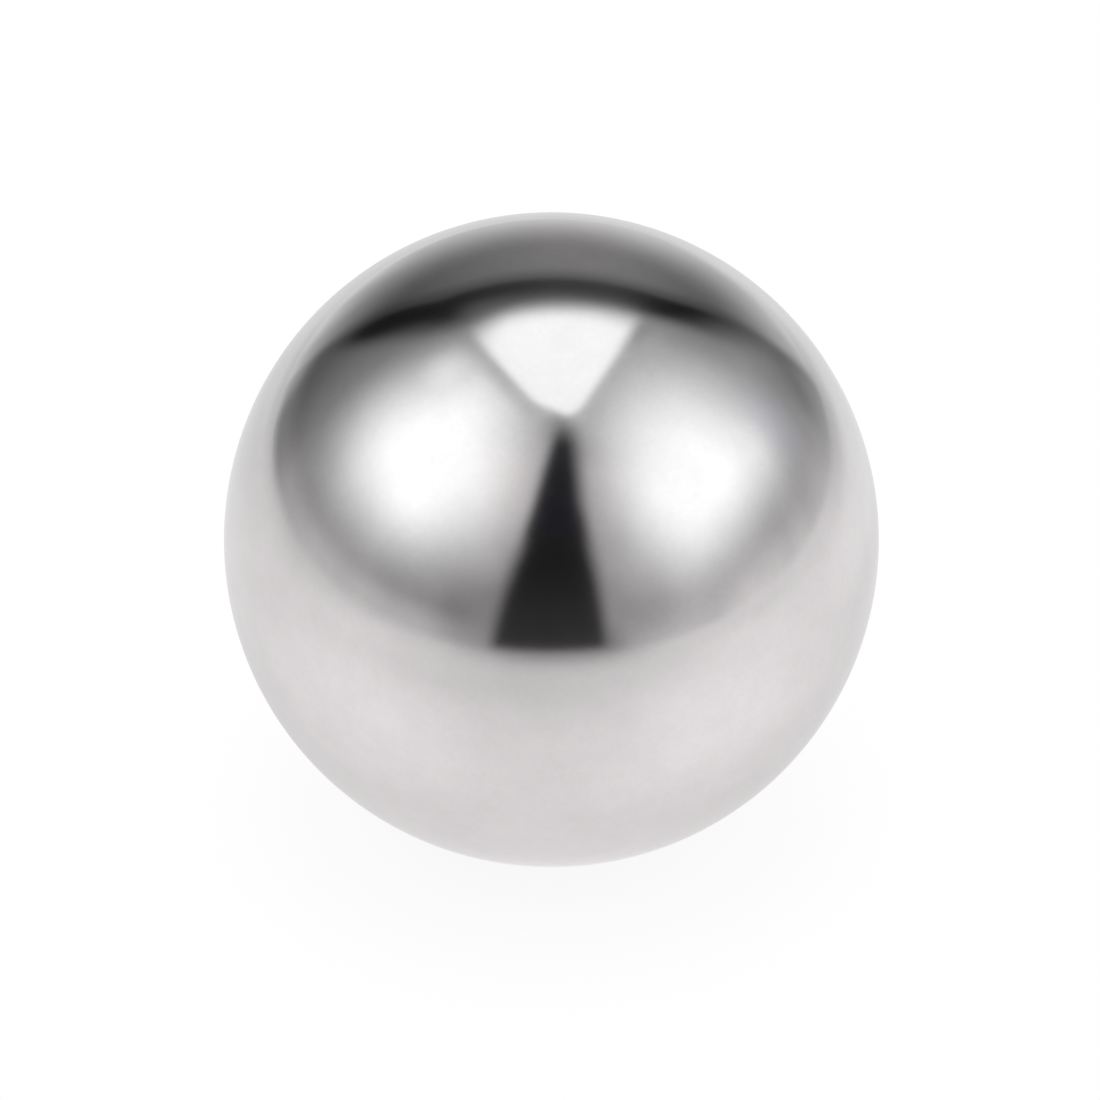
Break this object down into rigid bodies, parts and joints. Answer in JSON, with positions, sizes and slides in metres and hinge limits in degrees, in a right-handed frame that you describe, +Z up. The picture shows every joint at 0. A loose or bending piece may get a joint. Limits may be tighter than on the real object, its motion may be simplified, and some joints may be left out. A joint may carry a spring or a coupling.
{
  "type": "steel ball",
  "caption": "Solid steel ball, ground round and polished to a soft mirror, for bench, desk and bearing use.",
  "frame": {"origin": "the ball's centre", "axes": "+Z up; the ball is the same about every axis through its centre, so +X and +Y are free"},
  "size_m": [0.0381, 0.038, 0.0382],
  "materials": {
    "polished_steel": "polished"
  },
  "bodies": {
    "root": {"ball": "polished_steel"}
  },
  "joints": []
}
